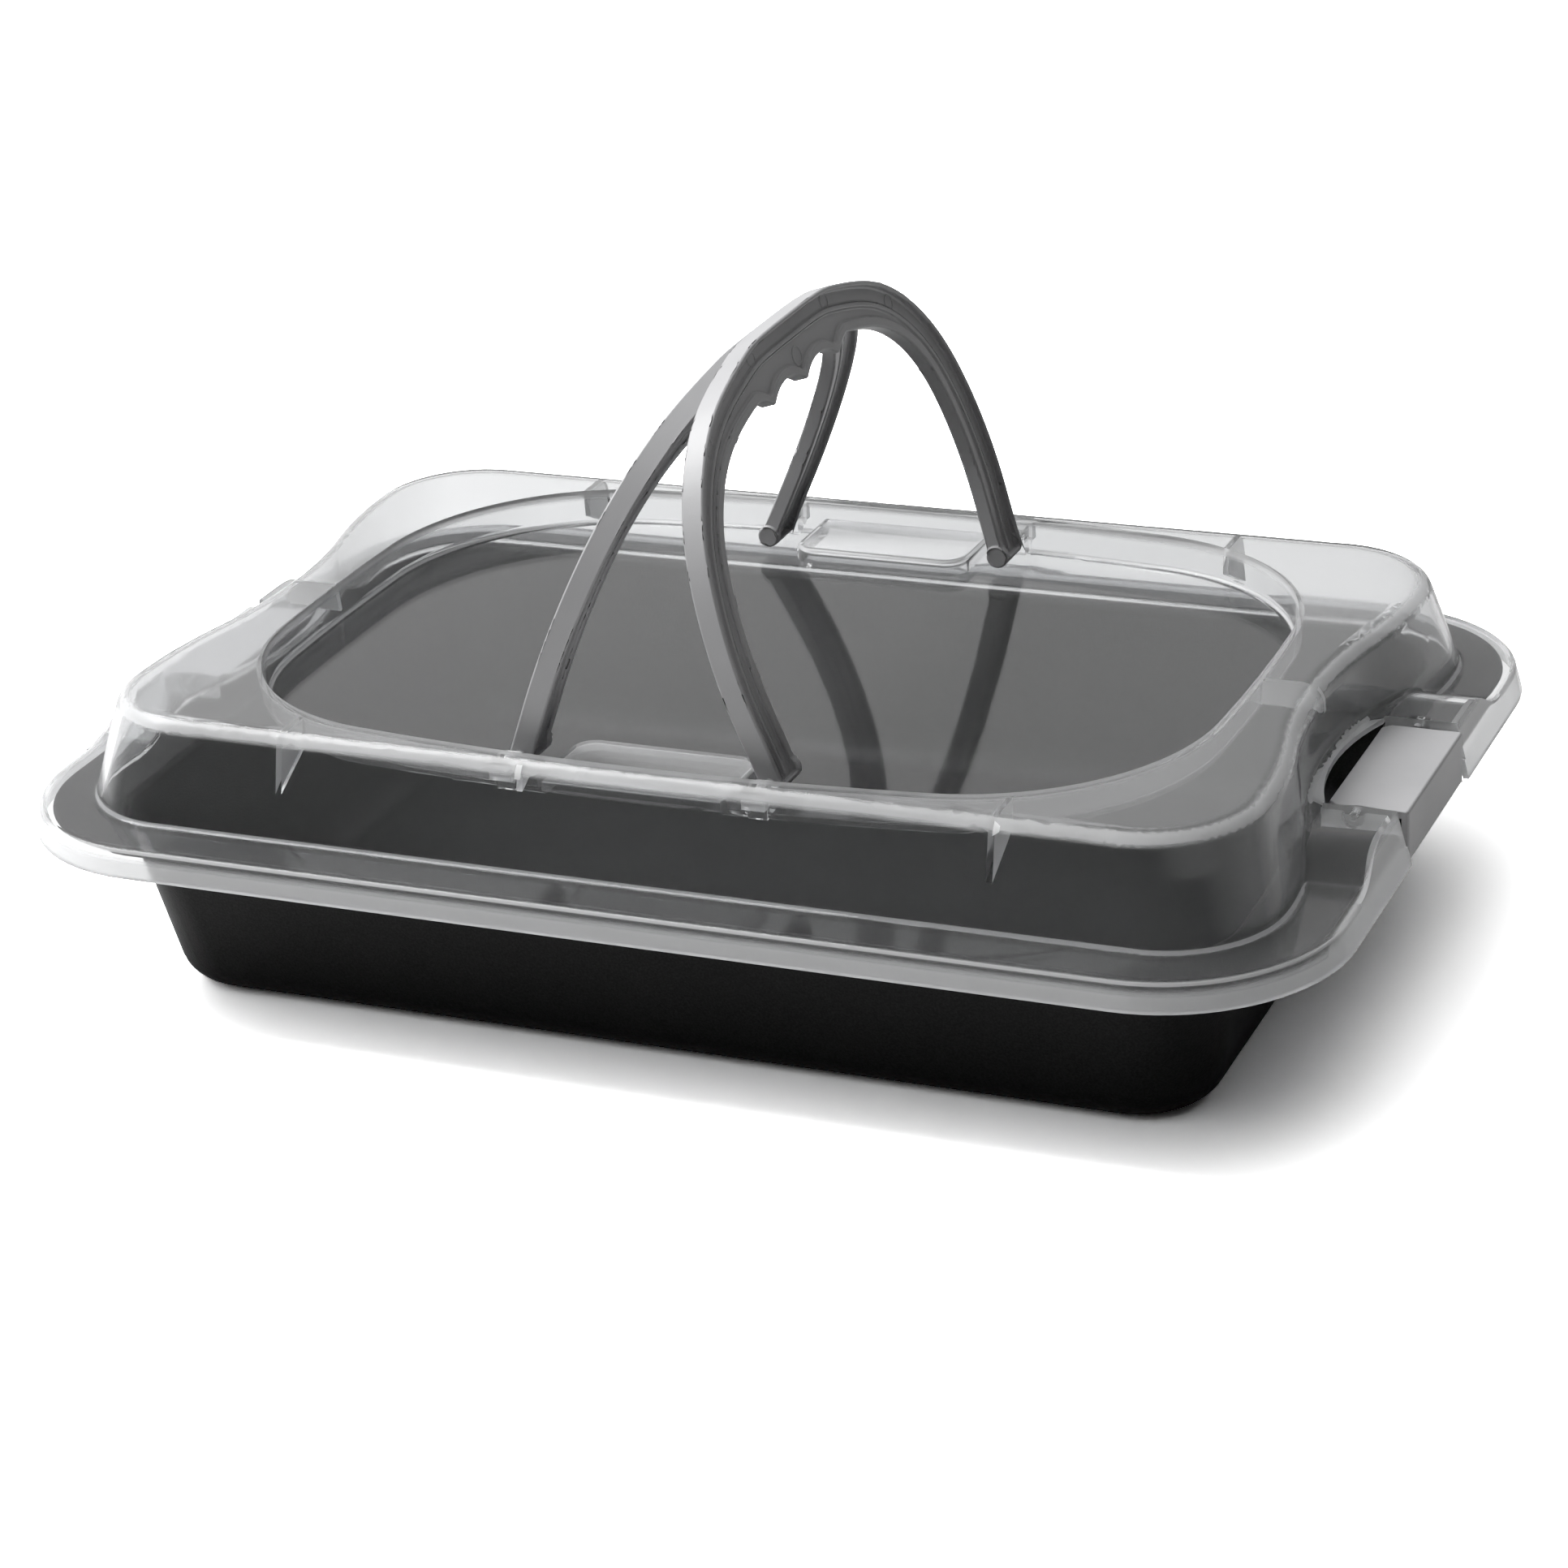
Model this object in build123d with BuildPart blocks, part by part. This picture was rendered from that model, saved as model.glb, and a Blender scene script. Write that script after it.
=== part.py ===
from build123d import *
from math import asin, cos, degrees, pi, sin
import os

# Baking pan with a clear carrying lid. Millimetres, +Z up, X along the pan's long side,
# origin on the table under the middle of the pan.

# Pan, drawn from coated steel sheet
pan_height = 61.6
pan_rim_length = 416.6
pan_rim_width = 276.6
pan_rim_corner = 46.0
pan_end_flange = 25.3
pan_side_flange = 16.0
pan_mouth_corner = 26.0
pan_wall_lean = 10.0
pan_sheet = 0.8
pan_floor_round = 12.0
pan_mouth_round = 3.0
rim_bead_radius = 1.2

# Lid, one moulding in clear plastic
lid_wall = 1.8
lid_on_rim_gap = 0.3
rim_clearance = 2.8
corner_ease = 2.4
skirt_lean = 2.1
skirt_height = 8.8
flange_round = 2.0
dome_end_step = 12.7
dome_side_step = 13.6
dome_corner = 34.6
dome_wall_lean = 8.4
dome_rise = 32.6
dome_round = 7.0
dome_foot_round = 2.0
edge_margin = 0.1
cut_margin = 1.0
waist_depth = 16.0
waist_wall_lean = 0.6
plateau_corner = 34.8

# Recess in the top of the lid that takes the folded handles
plateau_end_band = 28.6
plateau_side_band = 5.4
recess_side_arc = 815.0
recess_corner_arc = 73.0
recess_end_arc = 835.0
recess_depth = 11.3
recess_wall_lean = 1.2
recess_floor_round = 1.5
pad_width = 62.0
pad_depth = 30.3
pad_height = 5.0
pad_corner = 8.0
pad_round = 2.4

# Stiffening ribs under the plateau
rib_sheet = 2.0
corner_rib_in = 71.2
foot_rib_x = 33.8
rib_drop = 20.0
foot_rib_drop = 11.6
end_rib_drop = 9.6
rib_root = 10.2
socket_width = 7.4
socket_drop = 8.1
socket_reach = 3.1

# Raised seats for the clips, at both short ends
seat_rise = 8.8
seat_flat_width = 96.0
seat_foot_width = 156.0
notch_width = 66.4
notch_skirt_width = 63.0
notch_depth = 24.7
scoop_reach = 5.8
scoop_width = 62.0
hinge_wall_drop = 7.2
hinge_wall_length = 22.0
hinge_boss_radius = 3.4
hinge_boss_length = 4.0

# Clips, grey plastic
clip_width = 60.5
clip_plate = 2.6
clip_top_drop = 1.4
clip_inner_edge = 24.2
clip_corner_cut = 2.6
clip_overhang = 0.6
clip_side = 2.4
clip_round = 1.0
clip_pivot_in = 15.0
clip_pin_radius = 1.3
clip_pin_gap = 0.08
clip_pin_reach = 2.6
clip_lip_catch = 0.8
clip_lip_drop = 2.9
clip_lip = 1.4

# Handles, grey plastic arches with an I-shaped section
arch_end_gap = 3.1
arch_foot_gap = 10.0
arch_spread = 3.1
arch_foot_splay = 0.1
arch_spring = 26.0
arch_power = 2.6
arch_steps = 6
opening_power = 2.95
leg_depth = 14.8
crown_depth = 16.2
scallop_depth = 17.2
band_width = 7.4
band_sheet = 1.6
web_sheet = 2.6
rim_width = 3.2
rim_sheet = 5.2
bead_inset = 6.2
bead_width = 1.8
bead_sheet = 4.0
finger_pitch = 25.0
finger_teeth = 3
tooth_height = 4.4
tooth_tip_round = 1.5
pivot_x = 41.2
pivot_rise = 5.8
handle_pin_radius = 1.5
handle_pin_gap = 0.08
handle_pin_grip = 2.8
foot_floor = 1.2
ear_gap = 3.6
ear_width = 6.0
ear_crown = 3.1
ear_round = 0.8
right_crown_x = 7.97
left_crown_x = 4.65

# Heights and places that follow from the sizes above
pan_mouth_length = pan_rim_length - 2 * pan_end_flange
pan_mouth_width = pan_rim_width - 2 * pan_side_flange
lid_underside = pan_height + lid_on_rim_gap
flange_top = lid_underside + lid_wall
skirt_bottom = flange_top - skirt_height
plateau_top = flange_top + dome_rise
recess_floor = plateau_top - recess_depth
seat_top = flange_top + seat_rise
dome_length = pan_rim_length - 2 * dome_end_step
dome_width = pan_rim_width - 2 * dome_side_step
plateau_length = dome_length - 2 * dome_wall_lean
plateau_width = dome_width - 2 * dome_wall_lean
recess_length = plateau_length - 2 * plateau_end_band
recess_width = plateau_width - 2 * plateau_side_band
pad_reach = recess_width / 2 - pad_depth
corner_rib_x = plateau_length / 2 - corner_rib_in
flange_length = pan_rim_length + 2 * (rim_clearance + lid_wall)
flange_width = pan_rim_width + 2 * (rim_clearance + lid_wall)
flange_corner = pan_rim_corner + rim_clearance + lid_wall + corner_ease
lid_length = flange_length + 2 * skirt_lean
lid_width = flange_width + 2 * skirt_lean
lid_corner = flange_corner + skirt_lean
notch_x = flange_length / 2 - notch_depth
plateau_waist_depth = waist_depth - dome_wall_lean + waist_wall_lean
clip_outer_x = flange_length / 2 + clip_overhang
clip_top = seat_top - clip_top_drop
clip_pivot_x = clip_outer_x - clip_pivot_in
clip_pivot_z = clip_top - clip_plate / 2
lip_top = pan_height - 2 * rim_bead_radius - clip_lip_drop
handle_pivot_z = recess_floor + pivot_rise
arch_height = recess_length / 2 - pivot_x - arch_end_gap
arch_foot_width = recess_width - 2 * arch_foot_gap
arch_width = arch_foot_width + 2 * arch_spread
ear_y = arch_foot_width / 2 + ear_gap
ear_foot = pivot_rise + lid_wall / 2
right_lean = asin((pivot_x - right_crown_x) / arch_height)
left_lean = asin((pivot_x + left_crown_x) / arch_height)


def slab(length, width, corner, z):
    """A flat rounded rectangle at height z."""
    with BuildSketch(Plane.XY.offset(z)) as face:
        RectangleRounded(length, width, corner)
    return face.sketch


def waisted(length, width, corner, depth, z):
    """A rounded rectangle whose short sides are drawn in to a waist of the given depth."""
    half_length = length / 2
    half_width = width / 2
    shoulder = (half_length, half_width - corner)
    middle = (half_length - depth / 2, (half_width - corner) / 2)
    waist = (half_length - depth, 0)
    corner_start = (half_length - corner, half_width)
    with BuildSketch(Plane.XY.offset(z)) as face:
        with BuildLine():
            Line((0, half_width), corner_start)
            TangentArc(corner_start, shoulder, tangent=(1, 0))
            TangentArc(shoulder, middle, tangent=(0, -1))
            TangentArc(waist, middle, tangent=(0, 1))
            mirror(about=Plane.XZ)
            mirror(about=Plane.YZ)
        make_face()
    return face.sketch


def bulged_oval(grow, z):
    """The recess outline at height z, made larger all round by grow: six blended arcs."""
    side_centre = Vector(0, recess_width / 2 - recess_side_arc)
    end_centre = Vector(recess_length / 2 - recess_end_arc, 0)
    apart = end_centre - side_centre
    to_side = recess_side_arc - recess_corner_arc
    to_end = recess_end_arc - recess_corner_arc
    along = (apart.length ** 2 + to_side ** 2 - to_end ** 2) / (2 * apart.length)
    across = (to_side ** 2 - along ** 2) ** 0.5
    normal = Vector(-apart.Y, apart.X).normalized()
    turned = -1 if apart.X > 0 else 1
    corner_centre = side_centre + apart.normalized() * along - normal * across * turned
    side_ray = (corner_centre - side_centre).normalized()
    end_ray = (corner_centre - end_centre).normalized()
    side_end = side_centre + side_ray * (recess_side_arc + grow)
    end_start = end_centre + end_ray * (recess_end_arc + grow)
    with BuildSketch(Plane.XY.offset(z)) as face:
        with BuildLine():
            TangentArc((0, recess_width / 2 + grow), side_end, tangent=(1, 0))
            TangentArc(side_end, end_start, tangent=(side_ray.Y, -side_ray.X))
            TangentArc((recess_length / 2 + grow, 0), end_start, tangent=(0, 1))
            mirror(about=Plane.XZ)
            mirror(about=Plane.YZ)
        make_face()
    return face.sketch


# Pan: drawn tray, turned flange and rolled bead
def tray(shrink, z_floor):
    """The tray's body, made smaller all round by shrink."""
    mouth = slab(pan_mouth_length - 2 * shrink, pan_mouth_width - 2 * shrink,
                 pan_mouth_corner - shrink, pan_height)
    foot = slab(pan_mouth_length - 2 * pan_wall_lean - 2 * shrink,
                pan_mouth_width - 2 * pan_wall_lean - 2 * shrink,
                pan_mouth_corner - shrink, z_floor)
    with BuildPart() as body:
        add(foot)
        add(mouth)
        loft()
        fillet(body.faces().sort_by(Axis.Z)[0].edges(), pan_floor_round - shrink)
    return body.part


with BuildPart() as pan:
    add(tray(0, 0))
    with BuildSketch(Plane.XY.offset(pan_height - pan_sheet)):
        RectangleRounded(pan_rim_length - 2 * rim_bead_radius, pan_rim_width - 2 * rim_bead_radius,
                         pan_rim_corner - rim_bead_radius)
    extrude(amount=pan_sheet)
    add(tray(pan_sheet, pan_sheet), mode=Mode.SUBTRACT)
    mouth_edges = pan.edges().filter_by_position(
        Axis.Z, pan_height - edge_margin, pan_height + edge_margin)
    mouth_edges = mouth_edges.filter_by(lambda edge: abs(edge.center().X) < pan_mouth_length / 2)
    mouth_edges = mouth_edges.filter_by(lambda edge: abs(edge.center().Y) < pan_mouth_width / 2)
    fillet(mouth_edges, pan_mouth_round - pan_sheet)
    bead_path = slab(pan_rim_length - 2 * rim_bead_radius, pan_rim_width - 2 * rim_bead_radius,
                     pan_rim_corner - rim_bead_radius, pan_height - rim_bead_radius).face().outer_wire()
    with BuildSketch(Plane(origin=bead_path @ 0, z_dir=bead_path % 0)):
        Circle(rim_bead_radius)
    sweep(path=bead_path)
pan.part.label = "pan"


# Lid: a moulded shell, made as its outside less its inside
def seat_profile(drop):
    """The raised clip seat seen along X, lowered by drop."""
    top = seat_top - drop
    foot = flange_top - drop
    half_flat = seat_flat_width / 2
    half_foot = seat_foot_width / 2
    middle = ((half_flat + half_foot) / 2, (top + foot) / 2)
    with BuildSketch(Plane.YZ) as face:
        with BuildLine():
            Line((0, top), (half_flat, top))
            TangentArc((half_flat, top), middle, tangent=(1, 0))
            TangentArc((half_foot, foot), middle, tangent=(-1, 0))
            Line((half_foot, foot), (half_foot, skirt_bottom))
            Line((half_foot, skirt_bottom), (0, skirt_bottom))
            mirror(about=Plane.YZ)
        make_face()
    return face.sketch


def pads(shrink, top):
    """The two hand pads that stand on the recess floor between the handles' feet."""
    reach = pad_reach + shrink
    depth = recess_width / 2 - reach
    with BuildPart() as both:
        with BuildSketch(Plane.XY.offset(recess_floor - lid_wall)):
            with Locations((0, reach + depth / 2), (0, -reach - depth / 2)):
                RectangleRounded(pad_width - 2 * shrink, depth, pad_corner - shrink)
            with Locations((0, reach + depth * 0.75), (0, -reach - depth * 0.75)):
                Rectangle(pad_width - 2 * shrink, depth / 2)
        extrude(amount=top - recess_floor + lid_wall)
        fillet(both.faces().group_by(Axis.Z)[-1].edges(), pad_round - shrink)
    return both.part


def recess(grow, pad_shrink, pad_top):
    """The hollow over the recess floor, made larger by grow, with the pads standing in it."""
    with BuildPart() as hollow:
        add(bulged_oval(grow - recess_wall_lean, recess_floor - grow))
        add(bulged_oval(grow, plateau_top))
        loft()
        fillet(hollow.faces().sort_by(Axis.Z)[0].edges(), recess_floor_round + grow)
    with BuildPart() as over:
        add(bulged_oval(grow, plateau_top))
        extrude(amount=lid_wall)
    with BuildPart() as whole:
        add(hollow.part)
        add(over.part)
        add(pads(pad_shrink, pad_top), mode=Mode.SUBTRACT)
    return whole.part


def meets_dome(edge, shrink):
    """Whether an edge runs where the dome's wall meets the flange and the clip seats."""
    box = edge.bounding_box()
    upright = box.min.Z > flange_top - shrink - edge_margin and box.max.Z < seat_top - shrink + edge_margin
    along = max(box.max.X, -box.min.X) < dome_length / 2 + edge_margin
    across = max(box.max.Y, -box.min.Y) < dome_width / 2 + edge_margin
    return upright and along and across


def lid_form(shrink):
    """The lid's outside, or with a shrink its inside, as a solid."""
    with BuildPart() as form:
        add(waisted(dome_length - 2 * shrink, dome_width - 2 * shrink, dome_corner - shrink,
                    waist_depth, flange_top - shrink))
        add(waisted(plateau_length - 2 * shrink, plateau_width - 2 * shrink,
                    plateau_corner - shrink, plateau_waist_depth, plateau_top - shrink))
        loft()
        fillet(form.faces().sort_by(Axis.Z)[-1].edges(), dome_round - shrink)
    with BuildPart() as skirt:
        add(slab(lid_length - 2 * shrink, lid_width - 2 * shrink, lid_corner - shrink, skirt_bottom))
        add(slab(flange_length - 2 * shrink, flange_width - 2 * shrink, flange_corner - shrink,
                 flange_top - shrink))
        loft()
        fillet(skirt.faces().sort_by(Axis.Z)[-1].edges(), flange_round - shrink)
    seat_in = shrink + skirt_lean * seat_rise / (skirt_height - shrink)
    with BuildPart() as seats:
        add(slab(lid_length - 2 * shrink, lid_width - 2 * shrink, lid_corner - shrink, skirt_bottom))
        add(slab(flange_length - 2 * seat_in, flange_width - 2 * seat_in, flange_corner - seat_in,
                 seat_top - shrink))
        loft()
        add(extrude(seat_profile(shrink), amount=lid_length / 2, both=True, mode=Mode.PRIVATE),
            mode=Mode.INTERSECT)
    with BuildPart() as whole:
        add(form.part)
        add(skirt.part)
        add(seats.part)
        fillet(whole.edges().filter_by(lambda edge: meets_dome(edge, shrink)), dome_foot_round + shrink)
        add(recess(shrink, shrink, recess_floor + pad_height - shrink), mode=Mode.SUBTRACT)
    return whole.part


lid_outside = lid_form(0)
lid_inside = lid_form(lid_wall)
end_rib_bottom = plateau_top - end_rib_drop
side_rib_y = recess_width / 2 - rib_root
end_rib_x = recess_length / 2 - rib_root
dome_half_width = dome_width / 2
dome_half_waist = dome_length / 2 - waist_depth

with BuildPart() as ribs:
    for rib_x, side, drop in ((-corner_rib_x, -1, rib_drop), (-foot_rib_x, -1, foot_rib_drop),
                              (corner_rib_x, -1, rib_drop), (corner_rib_x, 1, rib_drop),
                              (foot_rib_x, 1, foot_rib_drop), (-corner_rib_x, 1, rib_drop)):
        rib_bottom = plateau_top - drop
        with BuildSketch(Plane.YZ.offset(rib_x - rib_sheet / 2)):
            with BuildLine():
                Polyline((side * side_rib_y, plateau_top), (side * dome_half_width, plateau_top),
                         (side * dome_half_width, rib_bottom),
                         (side * (dome_half_width - dome_wall_lean / 2), rib_bottom),
                         (side * side_rib_y, rib_bottom + rib_root), close=True)
            make_face()
        extrude(amount=rib_sheet)
    for side in (-1, 1):
        with BuildSketch(Plane.XZ.offset(-rib_sheet / 2)):
            with BuildLine():
                Polyline((side * end_rib_x, plateau_top), (side * dome_half_waist, plateau_top),
                         (side * dome_half_waist, end_rib_bottom),
                         (side * end_rib_x, end_rib_bottom), close=True)
            make_face()
        extrude(amount=rib_sheet)
    # Sockets that back the handles' pins behind the recess wall
    with BuildSketch(Plane.XY.offset(plateau_top - socket_drop)):
        with GridLocations(2 * pivot_x, 2 * side_rib_y + rib_root + socket_reach, 2, 2):
            Rectangle(socket_width, rib_root + socket_reach)
    extrude(amount=socket_drop)
    add(lid_outside, mode=Mode.INTERSECT)

with BuildPart() as hinge_walls:
    with BuildSketch(Plane.XY.offset(seat_top - hinge_wall_drop)):
        with GridLocations(2 * (notch_x + hinge_wall_length / 2), notch_width + lid_wall, 2, 2):
            Rectangle(hinge_wall_length, lid_wall)
    extrude(amount=hinge_wall_drop - lid_wall / 2)
    with Locations(Plane.XZ):
        with Locations((clip_pivot_x, clip_pivot_z, 0), (-clip_pivot_x, clip_pivot_z, 0)):
            Cylinder(hinge_boss_radius, notch_width + 2 * hinge_boss_length)
    add(lid_outside, mode=Mode.INTERSECT)
    Box(lid_length, notch_width, 4 * seat_top, mode=Mode.SUBTRACT)

with BuildPart() as lid:
    add(lid_outside)
    add(lid_inside, mode=Mode.SUBTRACT)
    with BuildSketch(Plane.XY):
        Rectangle(lid_length * 2, lid_width * 2)
    extrude(amount=skirt_bottom, mode=Mode.SUBTRACT)
    add(ribs.part)
    # Notches that the clips stand in, with a finger scoop and a narrower slot in the skirt
    for side in (-1, 1):
        with BuildSketch(Plane.XY.offset(lid_underside - cut_margin)):
            with BuildLine():
                Polyline((side * lid_length, -notch_width / 2), (side * notch_x, -notch_width / 2),
                         (side * notch_x, -scoop_width / 2))
                ThreePointArc((side * notch_x, -scoop_width / 2), (side * (notch_x - scoop_reach), 0),
                              (side * notch_x, scoop_width / 2))
                Polyline((side * notch_x, scoop_width / 2), (side * notch_x, notch_width / 2),
                         (side * lid_length, notch_width / 2), (side * lid_length, -notch_width / 2))
            make_face()
        extrude(amount=seat_top - lid_underside + 2 * cut_margin, mode=Mode.SUBTRACT)
        with BuildSketch(Plane.YZ.offset(side * (flange_length / 2 - 2 * lid_wall))):
            with BuildLine():
                Polyline((-notch_skirt_width / 2, skirt_bottom - cut_margin),
                         (-notch_width / 2, seat_top + cut_margin),
                         (notch_width / 2, seat_top + cut_margin),
                         (notch_skirt_width / 2, skirt_bottom - cut_margin), close=True)
            make_face()
        extrude(amount=side * 4 * lid_wall, mode=Mode.SUBTRACT)
    add(hinge_walls.part)
    with Locations(Plane.XZ):
        with Locations((clip_pivot_x, clip_pivot_z, 0), (-clip_pivot_x, clip_pivot_z, 0)):
            Cylinder(clip_pin_radius + clip_pin_gap, notch_width + 2 * hinge_boss_length,
                     mode=Mode.SUBTRACT)
    # Ears that hold the handles' pins, standing on the recess floor
    for ear_side in (-1, 1):
        with BuildSketch(Plane.XZ.offset(-ear_side * ear_y)) as ears:
            with Locations((-pivot_x, handle_pivot_z), (pivot_x, handle_pivot_z)):
                with Locations((0, (ear_crown - ear_foot) / 2)):
                    Rectangle(ear_width, ear_crown + ear_foot)
            fillet(ears.vertices().group_by(Axis.Y)[-1], ear_round)
            with Locations((-pivot_x, handle_pivot_z), (pivot_x, handle_pivot_z)):
                Circle(handle_pin_radius + handle_pin_gap, mode=Mode.SUBTRACT)
        extrude(amount=-ear_side * (recess_width / 2 - ear_y))
lid.part.label = "lid"


# Handles: arches that lean in over the middle, the left one tucked under the right one's band
def arch_outline(inset, power, crown):
    """The filled arch from its feet up to the crown, drawn in at the sides by the inset."""
    half_foot = arch_foot_width / 2 - inset
    half_width = arch_width / 2 - inset
    rise = crown - arch_spring
    turns = [pi / 2 * step / arch_steps for step in range(arch_steps)]
    side = [(half_width * cos(t) ** (2 / power), arch_spring + rise * sin(t) ** (2 / power))
            for t in turns]
    with BuildSketch(Plane.XY) as face:
        with BuildLine():
            Line((0, 0), (half_foot, 0))
            Spline((half_foot, 0), *side, (0, crown), tangents=[(arch_foot_splay, 1), (-1, 0)])
            mirror(about=Plane.YZ)
        make_face()
    return face.sketch


def outer_arch(inset):
    """The outer outline of the arch, drawn in all round by the inset."""
    return arch_outline(inset, arch_power, arch_height - inset)


def tooth(grow):
    """One bump between two fingers, with half of the round hollow on each side of it."""
    level = arch_height - scallop_depth + grow
    tip = (0, level - tooth_height)
    left = (-finger_pitch / 2, level)
    right = (finger_pitch / 2, level)
    with BuildSketch(Plane.XY) as bump:
        with BuildLine():
            TangentArc(left, tip, tangent=(1, 0))
            TangentArc(right, tip, tangent=(-1, 0))
            Polyline(left, (-finger_pitch / 2, arch_height), (finger_pitch / 2, arch_height), right)
        make_face()
        fillet(bump.vertices().sort_by(Axis.Y)[0], tooth_tip_round)
    return bump.sketch


def opening(grow):
    """The hand opening, made larger all round by grow."""
    with BuildSketch() as face:
        add(arch_outline(leg_depth - grow, opening_power, arch_height - crown_depth + grow))
        with GridLocations(finger_pitch, 0, finger_teeth, 1):
            add(tooth(grow), mode=Mode.SUBTRACT)
    return face.sketch


def between(outer, inner, sheet):
    """A flat arch of the given thickness between two outlines."""
    with BuildPart() as band:
        with BuildSketch(Plane.XY):
            add(outer)
            add(inner, mode=Mode.SUBTRACT)
        extrude(amount=sheet / 2, both=True)
    return band.part


with BuildPart() as foot:
    # Rounded foot at the +X side: the channels beside the web run down to the foot's floor
    with Locations(Location((arch_foot_width / 2 - leg_depth, 0, 0), (0, 90, 0))):
        Cylinder(band_width / 2, leg_depth, align=(Align.CENTER, Align.CENTER, Align.MIN))
    with Locations((arch_foot_width / 2 - leg_depth + rim_width, -foot_floor, web_sheet / 2)):
        Box(leg_depth - rim_width - band_sheet, band_width, band_width,
            align=(Align.MIN, Align.MIN, Align.MIN), mode=Mode.SUBTRACT)
    with Locations((arch_foot_width / 2 - leg_depth + rim_width, -foot_floor, -web_sheet / 2)):
        Box(leg_depth - rim_width - band_sheet, band_width, band_width,
            align=(Align.MIN, Align.MIN, Align.MAX), mode=Mode.SUBTRACT)
    with Locations(Location((arch_foot_width / 2 - band_sheet, 0, 0), (0, 90, 0))):
        Cylinder(handle_pin_radius, band_sheet + ear_gap + handle_pin_grip,
                 align=(Align.CENTER, Align.CENTER, Align.MIN))

with BuildPart() as arch:
    add(foot.part)
    mirror(about=Plane.YZ)
    add(between(outer_arch(band_sheet / 2), opening(0), web_sheet))
    add(between(outer_arch(0), outer_arch(band_sheet), band_width))
    add(between(outer_arch(bead_inset), outer_arch(bead_inset + bead_width), bead_sheet))
    add(between(opening(rim_width), opening(0), rim_sheet))


def standing_arch(side, lean):
    """The arch set on its pins at one side of the lid, leaning in over the middle."""
    stand = Plane(origin=(side * pivot_x, 0, handle_pivot_z), x_dir=(0, side, 0),
                  z_dir=(side * cos(lean), 0, sin(lean)))
    with BuildPart() as handle:
        add(arch.part.moved(stand.location))
    return handle.part


with BuildPart() as handle_right:
    add(standing_arch(1, right_lean))
handle_right.part.label = "handle_right"
with BuildPart() as handle_left:
    add(standing_arch(-1, left_lean))
handle_left.part.label = "handle_left"


# Clips: a rocking plate whose outer lip catches under the pan's bead
def rocking_clip():
    """The clip at the +X end."""
    inner_x = flange_length / 2 - clip_inner_edge
    lip_x = pan_rim_length / 2 - clip_lip_catch
    with BuildPart() as body:
        with BuildSketch(Plane.XZ.offset(-clip_width / 2)):
            with BuildLine():
                Polyline((inner_x, clip_top), (clip_outer_x, clip_top),
                         (clip_outer_x, lip_top - clip_lip), (lip_x + clip_lip / 2, lip_top - clip_lip),
                         (lip_x, lip_top), (clip_outer_x - clip_side, lip_top),
                         (clip_outer_x - clip_side, clip_top - clip_plate),
                         (inner_x, clip_top - clip_plate), close=True)
            make_face()
        extrude(amount=clip_width)
        upright_edges = body.edges().filter_by(Axis.Z).sort_by(Axis.X)
        chamfer(upright_edges[:2], clip_corner_cut)
        outer_edges = body.edges().filter_by(Axis.Y).group_by(Axis.X)[-1]
        side_edges = body.edges().filter_by(Axis.Z).group_by(Axis.X)[-1]
        fillet(side_edges + outer_edges.sort_by(Axis.Z)[-1:], clip_round)
        with Locations(Location((clip_pivot_x, 0, clip_pivot_z), (90, 0, 0))):
            Cylinder(clip_pin_radius, notch_width + 2 * clip_pin_reach)
    return body.part


with BuildPart() as clip_right:
    add(rocking_clip())
clip_right.part.label = "clip_right"
with BuildPart() as clip_left:
    add(rocking_clip().rotate(Axis.Z, 180))
clip_left.part.label = "clip_left"

os.makedirs("parts", exist_ok=True)
for piece in (pan, lid, handle_right, handle_left, clip_right, clip_left):
    export_step(piece.part, f"parts/{piece.part.label}.step")
print("handle leans", round(degrees(right_lean), 2), round(degrees(left_lean), 2),
      "pivot z", round(handle_pivot_z, 3), "arch", round(arch_height, 2), round(arch_width, 2))
print("clip pivot", round(clip_pivot_x, 3), round(clip_pivot_z, 3))
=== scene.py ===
from math import cos, radians, sin

import bmesh
import bpy
from mathutils import Matrix, Vector


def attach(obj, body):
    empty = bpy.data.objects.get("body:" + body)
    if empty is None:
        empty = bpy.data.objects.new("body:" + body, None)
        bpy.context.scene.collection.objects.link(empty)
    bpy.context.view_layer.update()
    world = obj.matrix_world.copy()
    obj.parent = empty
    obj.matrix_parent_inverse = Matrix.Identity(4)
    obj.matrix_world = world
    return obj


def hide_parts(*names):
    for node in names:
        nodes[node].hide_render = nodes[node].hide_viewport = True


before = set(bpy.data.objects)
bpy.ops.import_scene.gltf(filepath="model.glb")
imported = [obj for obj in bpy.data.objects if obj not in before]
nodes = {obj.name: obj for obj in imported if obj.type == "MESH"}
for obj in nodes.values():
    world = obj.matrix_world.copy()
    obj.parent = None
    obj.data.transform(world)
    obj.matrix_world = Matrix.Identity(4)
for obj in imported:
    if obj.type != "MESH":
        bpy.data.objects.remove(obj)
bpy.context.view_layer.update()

# Pan. A tray pressed from carbon steel sheet, with a flange turned out at the mouth and
# its edge rolled into a bead. It carries a dark non-stick coating, slightly rough to the
# touch, that breaks the light into a fine speckle.


def new_finish(name, ior):
    """A material, its tree, its shader and its coordinates."""
    finish = bpy.data.materials.new(name)
    finish.use_nodes = True
    tree = finish.node_tree
    skin = tree.nodes["Principled BSDF"]
    skin.inputs["IOR"].default_value = ior
    return finish, tree, skin, tree.nodes.new("ShaderNodeTexCoord")


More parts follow.
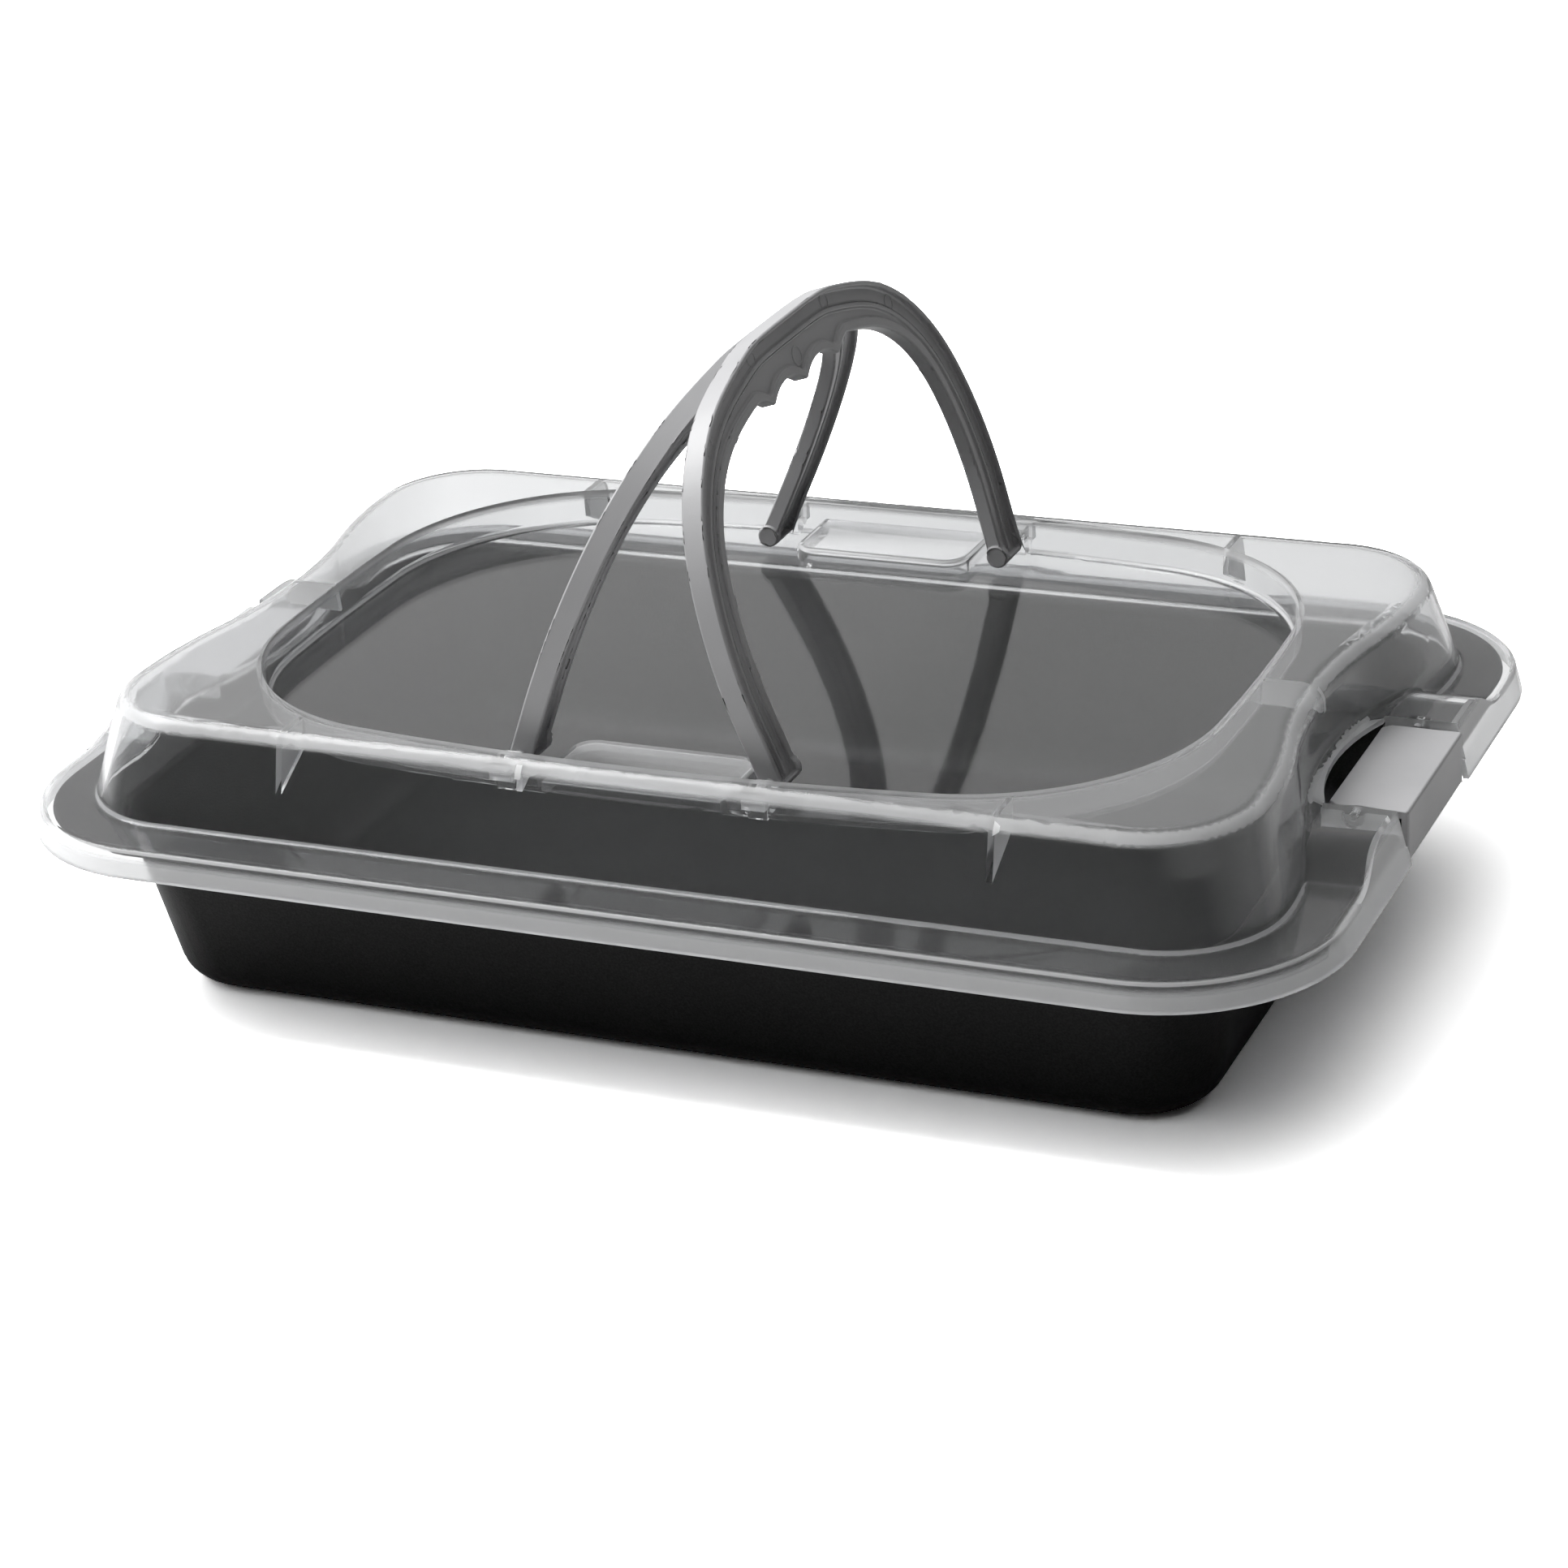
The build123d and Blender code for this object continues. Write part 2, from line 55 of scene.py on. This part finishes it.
def noise(tree, place, scale, detail):
    """Noise laid on the piece itself, with its scale in waves to a metre."""
    waves = tree.nodes.new("ShaderNodeTexNoise")
    waves.inputs["Scale"].default_value = scale
    waves.inputs["Detail"].default_value = detail
    tree.links.new(place.outputs["Object"], waves.inputs["Vector"])
    return waves.outputs["Fac"]


def band(tree, measure, start, end, low, high, curve="LINEAR"):
    """A value that goes from low to high while the measure goes from start to end."""
    ramp = tree.nodes.new("ShaderNodeMapRange")
    ramp.interpolation_type = curve
    ramp.inputs["From Min"].default_value = start
    ramp.inputs["From Max"].default_value = end
    ramp.inputs["To Min"].default_value = low
    ramp.inputs["To Max"].default_value = high
    tree.links.new(measure, ramp.inputs["Value"])
    return ramp.outputs["Result"]


def tint(tree, skin, measure, start, end, dark, light):
    """A base colour that goes from dark to light while the measure goes from start to end."""
    tone = tree.nodes.new("ShaderNodeValToRGB")
    tone.color_ramp.elements[0].position = start
    tone.color_ramp.elements[0].color = (*dark, 1.0)
    tone.color_ramp.elements[1].position = end
    tone.color_ramp.elements[1].color = (*light, 1.0)
    tree.links.new(measure, tone.inputs["Fac"])
    tree.links.new(tone.outputs["Color"], skin.inputs["Base Color"])


def emboss(tree, skin, measure, strength, depth):
    """Fine bumps that follow the measure, with their depth in metres."""
    bumps = tree.nodes.new("ShaderNodeBump")
    bumps.inputs["Strength"].default_value = strength
    bumps.inputs["Distance"].default_value = depth
    tree.links.new(measure, bumps.inputs["Height"])
    tree.links.new(bumps.outputs["Normal"], skin.inputs["Normal"])


def smoothed(name, crease=radians(32), weld=1e-6):
    """A joined copy of a solid's mesh, shaded smooth except at edges turned past crease."""
    form = bmesh.new()
    form.from_mesh(nodes[name].data)
    bmesh.ops.remove_doubles(form, verts=form.verts, dist=weld)
    for face in form.faces:
        face.smooth = True
    for edge in form.edges:
        if len(edge.link_faces) == 2 and edge.calc_face_angle() > crease:
            edge.smooth = False
    return form


def stand_in(form, name, finish):
    """A piece made from the joined copy, which stands for the solid that it was made from."""
    mesh = bpy.data.meshes.new(name + "_form")
    form.to_mesh(mesh)
    form.free()
    mesh.materials.append(finish)
    piece = bpy.data.objects.new(name + "_piece", mesh)
    bpy.context.scene.collection.objects.link(piece)
    evened = piece.modifiers.new("even_shading", "WEIGHTED_NORMAL")
    evened.keep_sharp = True
    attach(piece, name)
    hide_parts(name)
    return piece


coating, tree, skin, place = new_finish("non_stick_coating", ior=1.5)
skin.inputs["Specular IOR Level"].default_value = 0.15
speckle = noise(tree, place, scale=1400.0, detail=3.0)
cloud = noise(tree, place, scale=22.0, detail=4.0)
tint(tree, skin, speckle, start=0.35, end=0.72,
     dark=(0.0025, 0.0025, 0.0027), light=(0.009, 0.009, 0.0094))
tree.links.new(band(tree, cloud, start=0.3, end=0.7, low=0.42, high=0.5),
               skin.inputs["Roughness"])
emboss(tree, skin, speckle, strength=0.35, depth=0.0002)
stand_in(smoothed("pan"), "pan", coating)

# Lid. One moulding in clear plastic, glossy inside and out. Its skirt, its moulded rounds
# and the thin ribs behind its walls carry a milky haze, and its top and ends a fainter one.
# The haze is partly painted light: it lightens these parts as if they caught more light,
# and it lays painted bright lines along the rounds.
clear, tree, skin, place = new_finish("clear_plastic", ior=1.23)
skin.inputs["Base Color"].default_value = (0.84, 0.845, 0.85, 1.0)
spot = tree.nodes.new("ShaderNodeSeparateXYZ")
tree.links.new(place.outputs["Object"], spot.inputs["Vector"])
facing = tree.nodes.new("ShaderNodeSeparateXYZ")
tree.links.new(place.outputs["Normal"], facing.inputs["Vector"])


def reckon(tree, operation, first, second=None):
    """One Math node on one or two values."""
    step = tree.nodes.new("ShaderNodeMath")
    step.operation = operation
    tree.links.new(first, step.inputs[0])
    if second is not None:
        tree.links.new(second, step.inputs[1])
    return step.outputs[0]


# How milky each part of the lid is, between clear at 0 and milky at 1. Above the least haze,
# this milk is painted light that lightens the parts it covers.
painted_skirt_milk, painted_round_milk, painted_brim_milk, painted_end_milk = 0.5, 0.5, 0.7, 0.15
least_milk, top_milk_and_light = 0.03, 0.17
# Where each haze starts and where it is full: heights and lengths in metres, and slopes as
# the share of the surface's direction that points up or endwise.
skirt_heights, skirt_ends = (0.0618, 0.0595), (0.2105, 0.2115)
round_slopes, flat_slopes = (0.3, 0.55), (0.86, 0.975)
shoulder_heights, flange_heights = (0.0815, 0.0835), (0.0639, 0.0635)
brim_slopes, brim_heights = (0.36, 0.34), (0.0925, 0.0945)
top_heights = (0.0950, 0.0956)
end_slopes, end_heights = (0.5, 0.9), (0.064, 0.067)
height = spot.outputs["Z"]
upright = facing.outputs["Z"]
along = reckon(tree, "ABSOLUTE", spot.outputs["X"])
endwise = reckon(tree, "ABSOLUTE", facing.outputs["X"])
# Painted light: the skirt is made lighter, as if it caught more light than the walls above it.
skirt_painted_light = reckon(tree, "MAXIMUM", band(tree, height, *skirt_heights, 0.0, painted_skirt_milk),
                    band(tree, along, *skirt_ends, 0.0, painted_skirt_milk))
# Painted highlights: bright lines laid on the moulded rounds.
tilted = reckon(tree, "MULTIPLY", band(tree, upright, *round_slopes, 0.0, painted_round_milk),
                band(tree, upright, *flat_slopes, 1.0, 0.0))
off_the_foot = reckon(tree, "MAXIMUM", band(tree, height, *shoulder_heights, 0.0, 1.0),
                      band(tree, height, *flange_heights, 0.0, 1.0))
rounds_painted_highlight = reckon(tree, "MULTIPLY", tilted, off_the_foot)
# Painted light on the steep walls near the top.
brim_painted_light = reckon(tree, "MULTIPLY", band(tree, upright, *brim_slopes, 0.0, 1.0),
                   band(tree, height, *brim_heights, 0.0, painted_brim_milk))
# A faint haze on the lid, with painted light that lightens its top.
top_haze_and_light = band(tree, height, *top_heights, least_milk, top_milk_and_light)
# Painted light on the faces turned to the ends.
end_painted_light = reckon(tree, "MULTIPLY", band(tree, endwise, *end_slopes, 0.0, painted_end_milk),
                  band(tree, height, *end_heights, 0.0, 1.0))
# The haze of the thin forms, partly painted light, read from the lid's faces.
box_light_reader = tree.nodes.new("ShaderNodeAttribute")
box_light_reader.attribute_name = "box_milk_and_light"
milk_and_painted_light = box_light_reader.outputs["Fac"]
for haze_and_light in (skirt_painted_light, rounds_painted_highlight, brim_painted_light, top_haze_and_light, end_painted_light):
    milk_and_painted_light = reckon(tree, "MAXIMUM", milk_and_painted_light, haze_and_light)
tree.links.new(band(tree, milk_and_painted_light, start=0.0, end=1.0, low=1.0, high=0.25),
               skin.inputs["Transmission Weight"])
tree.links.new(band(tree, milk_and_painted_light, start=0.0, end=1.0, low=0.03, high=0.3),
               skin.inputs["Roughness"])
flow = noise(tree, place, scale=9.0, detail=2.0)
emboss(tree, skin, flow, strength=0.25, depth=0.0006)

# The thin forms take their haze, which is partly painted light, from the faces that lie wholly
# in their boxes. A box gives the haze, the ranges in x, y and z, and way, which is -1 for the
# near long side.
# Painted light on the ribs, pad, ears, clip seats and hinge walls, laid on as haze.
rib_milk_and_light, rib_half, rib_reach, rib_heights = 1.0, 0.00105, (0.1, 0.2), (0.07, 0.0948)
end_rib_start, end_rib_foot = 0.13, 0.08
pad_milk_and_light, pad_half, pad_reach, pad_heights = 0.22, 0.0315, (0.07, 0.12), (0.0845, 0.0905)
ear_milk_and_light, ear_place, ear_half = 0.5, 0.0412, 0.0045
ear_reach, ear_heights = (0.104, 0.116), (0.0853, 0.0955)
seat_milk_and_light, seat_reach, seat_half, seat_heights = 0.5, (0.179, 0.1905), 0.0335, (0.0618, 0.0726)
hinge_wall_milk_and_light, hinge_wall_start, hinge_wall_reach = 0.6, 0.186, (0.0295, 0.0365)
milk_and_light_boxes = []
for x, way in ((-0.118, -1), (-0.0338, -1), (0.118, -1), (0.118, 1), (0.0338, 1), (-0.118, 1)):
    milk_and_light_boxes.append((rib_milk_and_light, (x - rib_half, x + rib_half), rib_reach, rib_heights, way))
for way in (-1, 1):
    milk_and_light_boxes.append((pad_milk_and_light, (-pad_half, pad_half), pad_reach, pad_heights, way))
    for x in (-ear_place, ear_place):
        milk_and_light_boxes.append((ear_milk_and_light, (x - ear_half, x + ear_half), ear_reach, ear_heights, way))
for side in (-1, 1):
    seat_range = sorted(side * x for x in seat_reach)
    milk_and_light_boxes.append((seat_milk_and_light, seat_range, (-seat_half, seat_half), seat_heights, 1))
form = smoothed("lid")
box_milk_and_light = form.faces.layers.float.new("box_milk_and_light")
for face in form.faces:
    spots = [point.co for point in face.verts]
    for haze_and_light, (x_low, x_high), (y_low, y_high), (z_low, z_high), way in milk_and_light_boxes:
        if all(x_low < p.x < x_high and y_low < p.y * way < y_high and
               z_low < p.z < z_high for p in spots):
            face[box_milk_and_light] = haze_and_light
    if all(abs(p.y) < rib_half and abs(p.x) > end_rib_start and
           end_rib_foot < p.z < rib_heights[1] for p in spots):
        face[box_milk_and_light] = rib_milk_and_light
    if all(abs(p.x) > hinge_wall_start and p.z < seat_heights[1] and
           hinge_wall_reach[0] < abs(p.y) < hinge_wall_reach[1] for p in spots):
        face[box_milk_and_light] = hinge_wall_milk_and_light
stand_in(form, "lid", clear)

# Handles and clips. Moulded in grey plastic with a fine matt mould texture, their outer
# edges slightly rounded as they leave the mould. Each snaps on its own two pins into the lid.
grey, tree, skin, place = new_finish("grey_plastic", ior=1.49)
skin.inputs["Roughness"].default_value = 0.45
grain = noise(tree, place, scale=2200.0, detail=2.0)
cloud = noise(tree, place, scale=30.0, detail=3.0)
tint(tree, skin, cloud, start=0.3, end=0.7,
     dark=(0.35, 0.35, 0.357), light=(0.39, 0.39, 0.397))
emboss(tree, skin, grain, strength=0.2, depth=0.0001)
handle_round = 0.0006
clip_round = 0.0004
least_turn = radians(40)
for name, edge_round in (("handle_left", handle_round), ("handle_right", handle_round),
                         ("clip_left", clip_round), ("clip_right", clip_round)):
    piece = stand_in(smoothed(name), name, grey)
    eased = piece.modifiers.new("eased_edges", "BEVEL")
    eased.width = edge_round
    eased.segments = 2
    eased.angle_limit = least_turn
    eased.use_clamp_overlap = False
    piece.modifiers.move(1, 0)

# Mould marks. The pins that push a handle out of its mould leave thin raised rings on the
# outer face of its web, the largest over the middle of the grip. Moulded with the handle.
rings = bpy.data.node_groups.new("mould_rings", "GeometryNodeTree")
panel = rings.interface
panel.new_socket(name="Marks", in_out="INPUT", socket_type="NodeSocketGeometry")
facing_in = panel.new_socket(name="Facing", in_out="INPUT", socket_type="NodeSocketVector")
wire_in = panel.new_socket(name="Wire", in_out="INPUT", socket_type="NodeSocketFloat")
panel.new_socket(name="Rings", in_out="OUTPUT", socket_type="NodeSocketGeometry")
given = rings.nodes.new("NodeGroupInput")
circle = rings.nodes.new("GeometryNodeCurvePrimitiveCircle")
circle.inputs["Resolution"].default_value = 28
circle.inputs["Radius"].default_value = 1.0
section = rings.nodes.new("GeometryNodeCurvePrimitiveCircle")
section.inputs["Resolution"].default_value = 8
rings.links.new(given.outputs["Wire"], section.inputs["Radius"])
hoop = rings.nodes.new("GeometryNodeCurveToMesh")
rings.links.new(circle.outputs["Curve"], hoop.inputs["Curve"])
rings.links.new(section.outputs["Curve"], hoop.inputs["Profile Curve"])
size = rings.nodes.new("GeometryNodeInputNamedAttribute")
size.data_type = "FLOAT"
size.inputs["Name"].default_value = "ring_radius"
laid = rings.nodes.new("FunctionNodeAlignRotationToVector")
laid.axis = "Z"
rings.links.new(given.outputs["Facing"], laid.inputs["Vector"])
placed = rings.nodes.new("GeometryNodeInstanceOnPoints")
rings.links.new(given.outputs["Marks"], placed.inputs["Points"])
rings.links.new(hoop.outputs["Mesh"], placed.inputs["Instance"])
rings.links.new(laid.outputs["Rotation"], placed.inputs["Rotation"])
rings.links.new(size.outputs["Attribute"], placed.inputs["Scale"])
real = rings.nodes.new("GeometryNodeRealizeInstances")
rings.links.new(placed.outputs["Instances"], real.inputs["Geometry"])
smooth = rings.nodes.new("GeometryNodeSetShadeSmooth")
rings.links.new(real.outputs["Geometry"], smooth.inputs["Geometry"])
dress = rings.nodes.new("GeometryNodeSetMaterial")
dress.inputs["Material"].default_value = grey
rings.links.new(smooth.outputs["Geometry"], dress.inputs["Geometry"])
ready = rings.nodes.new("NodeGroupOutput")
rings.links.new(dress.outputs["Geometry"], ready.inputs["Rings"])

# Each mark's place across the handle, its rise above the pins and its radius, in metres.
pin_marks = [(0.0, 0.1007, 0.003)]
for across, rise, radius in ((0.0283, 0.1094, 0.0026), (0.0699, 0.0952, 0.0026),
                             (0.093, 0.0528, 0.0012)):
    pin_marks += [(across, rise, radius), (-across, rise, radius)]
wire_share = 0.08
web_half = 0.0013
pivot_out, pivot_height = 0.0412, 0.0908
for name, side, lean in (("handle_right", 1, radians(16.9)), ("handle_left", -1, radians(23.65))):
    outward = Vector((side * cos(lean), 0, sin(lean)))
    rising = Vector((-side * sin(lean), 0, cos(lean)))
    foot = Vector((side * pivot_out, 0, pivot_height)) + outward * web_half
    places = [foot + rising * rise + Vector((0, side * across, 0))
              for across, rise, radius in pin_marks]
    dots = bpy.data.meshes.new(name + "_marks")
    dots.from_pydata(places, [], [])
    radii = dots.attributes.new("ring_radius", "FLOAT", "POINT")
    for dot, (across, rise, radius) in zip(radii.data, pin_marks):
        dot.value = radius
    holder = bpy.data.objects.new(name + "_marks", dots)
    bpy.context.scene.collection.objects.link(holder)
    maker = holder.modifiers.new("rings", "NODES")
    maker.node_group = rings
    maker[facing_in.identifier] = tuple(outward)
    maker[wire_in.identifier] = wire_share
    bpy.context.view_layer.update()
    shown = holder.evaluated_get(bpy.context.evaluated_depsgraph_get())
    mesh = bpy.data.meshes.new_from_object(shown)
    holder.modifiers.remove(maker)
    holder.data = mesh
    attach(holder, name)

# Table. A plain white sheet, wide enough to fill the picture, that keeps the shadow. It is
# paper grey to the light that it throws on, and white to the eye.
reach = 4.0
paper_grey = (0.72, 0.72, 0.72, 1.0)
paper_white = (3.8, 3.8, 3.8, 1.0)
sheet = bpy.data.meshes.new("floor")
corners = [(-reach, -reach, 0), (reach, -reach, 0), (reach, reach, 0), (-reach, reach, 0)]
sheet.from_pydata(corners, [], [(0, 1, 2, 3)])
floor = bpy.data.objects.new("floor", sheet)
bpy.context.scene.collection.objects.link(floor)
white = bpy.data.materials.new("white_sheet")
white.use_nodes = True
tree = white.node_tree
tree.nodes.remove(tree.nodes["Principled BSDF"])
matt = tree.nodes.new("ShaderNodeBsdfDiffuse")
paper = tree.nodes.new("ShaderNodeMix")
paper.data_type = "RGBA"
# The sockets of a Mix node for colours are told apart by number: 6 is A and 7 is B.
paper.inputs[6].default_value = paper_grey
paper.inputs[7].default_value = paper_white
seen = tree.nodes.new("ShaderNodeLightPath")
tree.links.new(seen.outputs["Is Camera Ray"], paper.inputs[0])
tree.links.new(paper.outputs[2], matt.inputs["Color"])
tree.links.new(matt.outputs[0], tree.nodes["Material Output"].inputs["Surface"])
sheet.materials.append(white)

# Room. White to the eye and through the lid. For light and gloss it is bright above, at
# the back and on the left, and dim round the camera, as in a small photo studio.
brightest = Vector((-0.5, 0.25, 0.85)).normalized()
dim_level, bright_level = 0.02, 0.95
dim_until, bright_from = 0.2, 0.85
room = bpy.data.worlds.new("room")
bpy.context.scene.world = room
room.use_nodes = True
tree = room.node_tree
sky = tree.nodes["Background"]
sky.inputs["Color"].default_value = (1.0, 1.0, 1.0, 1.0)
seen = tree.nodes.new("ShaderNodeLightPath")
white_rays = reckon(tree, "MAXIMUM", seen.outputs["Is Camera Ray"],
                    seen.outputs["Is Transmission Ray"])
direction = tree.nodes.new("ShaderNodeTexCoord")
toward = tree.nodes.new("ShaderNodeVectorMath")
toward.operation = "DOT_PRODUCT"
toward.inputs[1].default_value = brightest
tree.links.new(direction.outputs["Generated"], toward.inputs[0])
glow = band(tree, toward.outputs["Value"], dim_until, bright_from, dim_level, bright_level,
            curve="SMOOTHSTEP")
level = tree.nodes.new("ShaderNodeMix")
level.data_type = "FLOAT"
# In a Mix node for single values, socket 2 is A and 3 is B.
tree.links.new(white_rays, level.inputs[0])
tree.links.new(glow, level.inputs[2])
level.inputs[3].default_value = 1.0
tree.links.new(level.outputs[0], sky.inputs["Strength"])

# Key lamp. One square soft box, high on the left, turned to the middle of the pan.
panel_light = bpy.data.lights.new("key", "AREA")
panel_light.size = 0.8
panel_light.energy = 27.0
lamp_place = Vector((-0.8, 0.0, 1.2))
lamp_aim = Vector((0.0, 0.0, 0.05))
lamp = bpy.data.objects.new("key", panel_light)
lamp.location = lamp_place
lamp.rotation_euler = (lamp_aim - lamp_place).to_track_quat("-Z", "Y").to_euler()
bpy.context.scene.collection.objects.link(lamp)

# Camera, at the place and turn that the photograph was taken from.
lens = bpy.data.cameras.new("camera")
lens.sensor_width = 36.0
lens.lens = 97.26
lens.clip_end = 20.0
camera = bpy.data.objects.new("camera", lens)
stand = Matrix.Translation((0.524336, -1.126977, 0.597849))
right = Vector((0.91627804, 0.39507107, -0.0659803))
up = Vector((-0.10668268, 0.39948931, 0.91050925))
back = Vector((0.38607429, -0.82724068, 0.40819053))
turn = Matrix((right, up, back)).transposed().to_4x4()
camera.matrix_world = stand @ turn
bpy.context.scene.collection.objects.link(camera)
bpy.context.scene.camera = camera
bpy.context.scene.view_settings.view_transform = "Standard"
